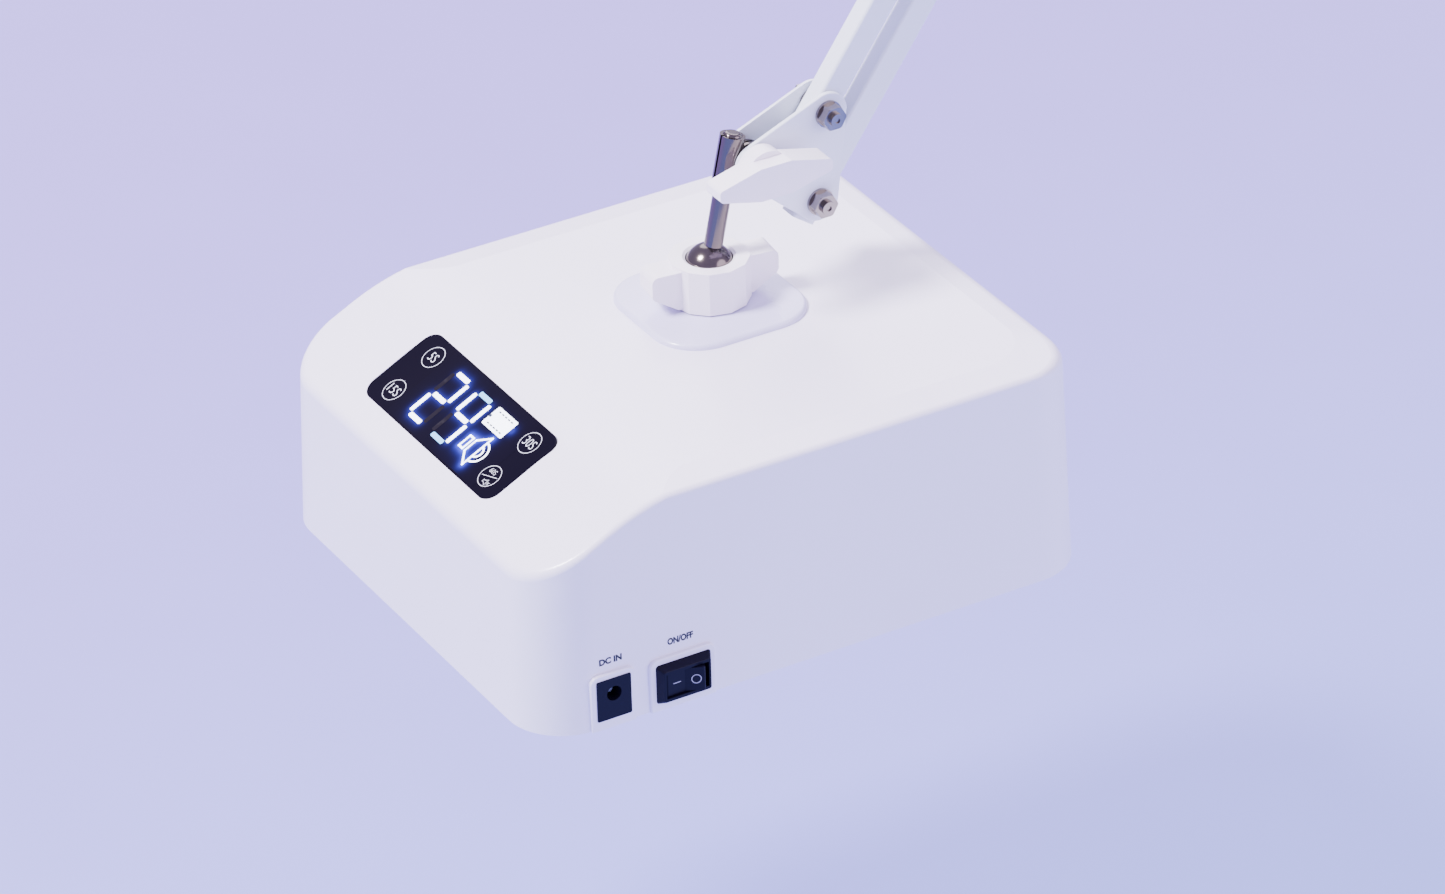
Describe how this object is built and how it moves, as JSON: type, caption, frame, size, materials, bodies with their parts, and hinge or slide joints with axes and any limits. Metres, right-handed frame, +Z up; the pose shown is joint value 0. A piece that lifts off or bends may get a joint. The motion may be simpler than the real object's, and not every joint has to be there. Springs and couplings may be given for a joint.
{
  "type": "nail-curing desk lamp with swing arm",
  "caption": "Cordless nail-curing lamp head with touch display, hung by a ball joint from a two-link sprung swing arm on a desk clamp.",
  "frame": {"origin": "middle of the desk clamp's upper jaw face, on the arm's swivel axis", "axes": "+Z up, -Y towards the lamp's display end, +X towards the switch side, across the arm"},
  "size_m": [0.1905, 0.5279, 0.5985],
  "materials": {
    "lamp_shell": "satin",
    "white_plastic": "satin",
    "white_paint": "satin",
    "dark_nickel": "polished",
    "nickel_steel": "satin",
    "black_window": "gloss",
    "white_tray": "satin",
    "green_board": "satin",
    "white_board": "satin",
    "led_lens": "gloss",
    "grey_plastic": "matte",
    "switch_face": "satin",
    "black_plastic": "matte",
    "cell_wrap": "satin",
    "brass_contact": "satin",
    "black_rubber": "matte",
    "bush_plastic": "matte",
    "spring_steel": "satin",
    "seat_plastic": "matte"
  },
  "bodies": {
    "root": {"clamp_frame": "white_paint", "socket_bush": "bush_plastic", "socket_screw": "black_plastic"},
    "clamp_screw_set": {"clamp_screw": "nickel_steel", "clamp_pad": "nickel_steel", "pad_rubber": "black_rubber", "tommy_bar": "nickel_steel"},
    "base_bracket": {"base_plates": "white_paint", "base_bolts": "nickel_steel", "base_nuts": "nickel_steel", "base_post": "nickel_steel", "post_rivets": "nickel_steel", "rear_springs": "spring_steel"},
    "rear_front": {"rear_bar_front": "white_paint", "rear_spring_pins": "nickel_steel"},
    "rear_back": {"rear_bar_back": "white_paint"},
    "elbow": {"elbow_plates": "white_paint", "elbow_bolts": "nickel_steel", "elbow_nuts": "nickel_steel", "forearm_springs": "spring_steel"},
    "forearm_upper": {"forearm_bar_upper": "white_paint", "forearm_spring_pins": "nickel_steel"},
    "forearm_lower": {"forearm_bar_lower": "white_paint"},
    "head_bracket": {"head_plate_left": "white_paint", "head_plate_right": "white_paint", "head_bolts": "nickel_steel", "head_nuts": "nickel_steel", "tilt_bolt": "nickel_steel"},
    "knob": {"tilt_knob": "white_plastic"},
    "rod_clamp": {"rod_clamp_left": "dark_nickel", "rod_clamp_right": "dark_nickel", "tilt_spacers": "nickel_steel"},
    "ball_shaft": {"ball_rod": "dark_nickel"},
    "seat": {"ball_seat": "seat_plastic"},
    "lamp": {"housing": "lamp_shell", "bottom_frame": "white_plastic", "housing_screws": "nickel_steel", "reflector_tray": "white_tray", "led_boards": "white_board", "led_beads": "led_lens", "display_window": "black_window", "display_module": "grey_plastic", "display_board": "green_board", "touch_springs": "spring_steel", "switch_frame": "switch_face", "switch_terminals": "brass_contact", "dc_jack": "switch_face", "jack_pin": "brass_contact", "battery_holder": "black_plastic", "battery_cells": "cell_wrap", "protection_board": "green_board", "control_board": "green_board", "board_standoffs": "brass_contact", "buzzer": "black_plastic", "mount_plate": "white_plastic", "ball_hub": "white_plastic", "hub_nut": "nickel_steel"},
    "clamp_nut": {"ball_clamp_nut": "white_plastic"},
    "switch_rocker": {"rocker": "switch_face"}
  },
  "joints": [
    {"name": "clamp_travel", "type": "slide", "parent": "root", "child": "clamp_screw_set", "axis": [0, 0, 1], "range_m": [-0.022, 0.025]},
    {"name": "base_swivel", "type": "hinge", "parent": "root", "child": "base_bracket", "pos_m": [0, 0, 0.0363], "axis": [0, 0, 1], "range_deg": [-180, 180]},
    {"name": "rear_arm", "type": "hinge", "parent": "base_bracket", "child": "rear_front", "pos_m": [0, -0.016, 0.0883], "axis": [1, 0, 0], "range_deg": [-35, 40], "deforming": ["rear_springs"]},
    {"name": "rear_back_follow", "type": "hinge", "parent": "base_bracket", "child": "rear_back", "pos_m": [0, 0.016, 0.0883], "axis": [1, 0, 0], "range_deg": [-36, 41]},
    {"name": "elbow_level", "type": "hinge", "parent": "rear_front", "child": "elbow", "pos_m": [0, -0.13913, 0.42659], "axis": [1, 0, 0], "range_deg": [-41, 36]},
    {"name": "forearm", "type": "hinge", "parent": "elbow", "child": "forearm_upper", "pos_m": [0, -0.16113, 0.44989], "axis": [1, 0, 0], "range_deg": [-50, 8], "deforming": ["forearm_springs"]},
    {"name": "forearm_low_follow", "type": "hinge", "parent": "elbow", "child": "forearm_lower", "pos_m": [0, -0.16513, 0.41719], "axis": [1, 0, 0], "range_deg": [-51, 9]},
    {"name": "head_level", "type": "hinge", "parent": "forearm_upper", "child": "head_bracket", "pos_m": [0, -0.33175, 0.20801], "axis": [1, 0, 0], "range_deg": [-9, 51]},
    {"name": "knob_turn", "type": "hinge", "parent": "head_bracket", "child": "knob", "pos_m": [0, -0.36015, 0.19651], "axis": [1, 0, 0], "range_deg": [-40, 40]},
    {"name": "head_tilt", "type": "hinge", "parent": "head_bracket", "child": "rod_clamp", "pos_m": [0, -0.36015, 0.19651], "axis": [1, 0, 0], "range_deg": [-55, 10]},
    {"name": "rod_swivel", "type": "hinge", "parent": "rod_clamp", "child": "ball_shaft", "pos_m": [0, -0.37605, 0.15901], "axis": [0, 0.2147, 0.9767], "range_deg": [-180, 180]},
    {"name": "ball_pitch", "type": "hinge", "parent": "ball_shaft", "child": "seat", "pos_m": [0, -0.37605, 0.15901], "axis": [1, 0, 0], "range_deg": [-40, 12]},
    {"name": "ball_roll", "type": "hinge", "parent": "seat", "child": "lamp", "pos_m": [0, -0.37605, 0.15901], "axis": [0, 1, 0], "range_deg": [-22, 22]},
    {"name": "nut_turn", "type": "hinge", "parent": "lamp", "child": "clamp_nut", "pos_m": [0, -0.37605, 0.15901], "axis": [0, 0, 1], "range_deg": [0, 120]},
    {"name": "rocker_press", "type": "hinge", "parent": "lamp", "child": "switch_rocker", "pos_m": [0.1015, -0.44835, 0.07381], "axis": [0, 0, 1], "range_deg": [0, 22]}
  ],
  "couplings": [
    {"joint": "rear_back_follow", "follows": "rear_arm", "ratio": 1},
    {"joint": "elbow_level", "follows": "rear_arm", "ratio": -1},
    {"joint": "forearm_low_follow", "follows": "forearm", "ratio": 1},
    {"joint": "head_level", "follows": "forearm", "ratio": -1}
  ]
}
